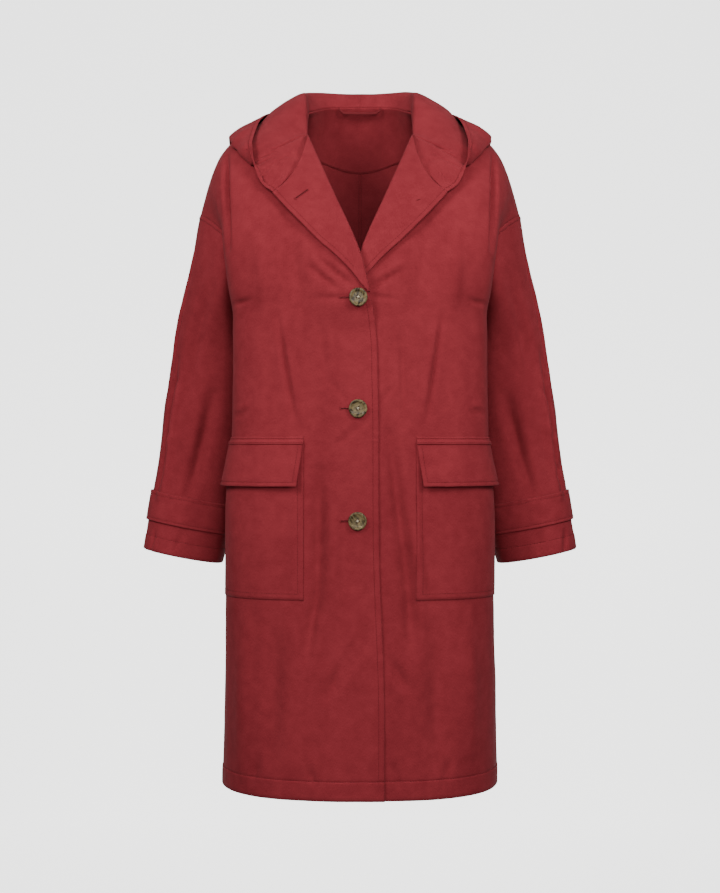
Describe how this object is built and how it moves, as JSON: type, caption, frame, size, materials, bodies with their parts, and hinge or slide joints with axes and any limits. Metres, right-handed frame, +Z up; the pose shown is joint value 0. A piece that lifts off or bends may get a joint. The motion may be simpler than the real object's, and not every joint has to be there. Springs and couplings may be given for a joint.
{
  "type": "hooded coat",
  "caption": "Knee-length single-breasted cotton coat with a turned-down hood, rolled lapels, flapped patch pockets and banded cuffs, filled out and hollow.",
  "frame": {"origin": "middle of the neck, level with the back neck seam, where the wearer's neck and shoulders carry the coat", "axes": "+Z up, -Y is the coat's front, +X is the wearer's left"},
  "size_m": [0.645, 0.361, 1.0275],
  "materials": {
    "twill": "washed cotton twill, matt",
    "loop": "narrow woven tape, matt",
    "horn": "marbled brown horn, softly polished"
  },
  "bodies": {
    "root": {"front_panel_left": "twill", "front_panel_right": "twill", "front_facing_left": "twill", "front_facing_right": "twill", "back_panel_left": "twill", "back_panel_right": "twill", "sleeve_left": "twill", "sleeve_right": "twill", "cuff_strap_left": "twill", "cuff_strap_right": "twill", "hood_left": "twill", "hood_right": "twill", "pocket_left": "twill", "pocket_right": "twill", "pocket_band_left": "twill", "pocket_band_right": "twill", "pocket_flap_left": "twill", "pocket_flap_right": "twill", "back_neck_facing": "twill", "hanger_loop": "loop", "button_1": "horn", "button_2": "horn", "button_3": "horn"}
  },
  "joints": []
}
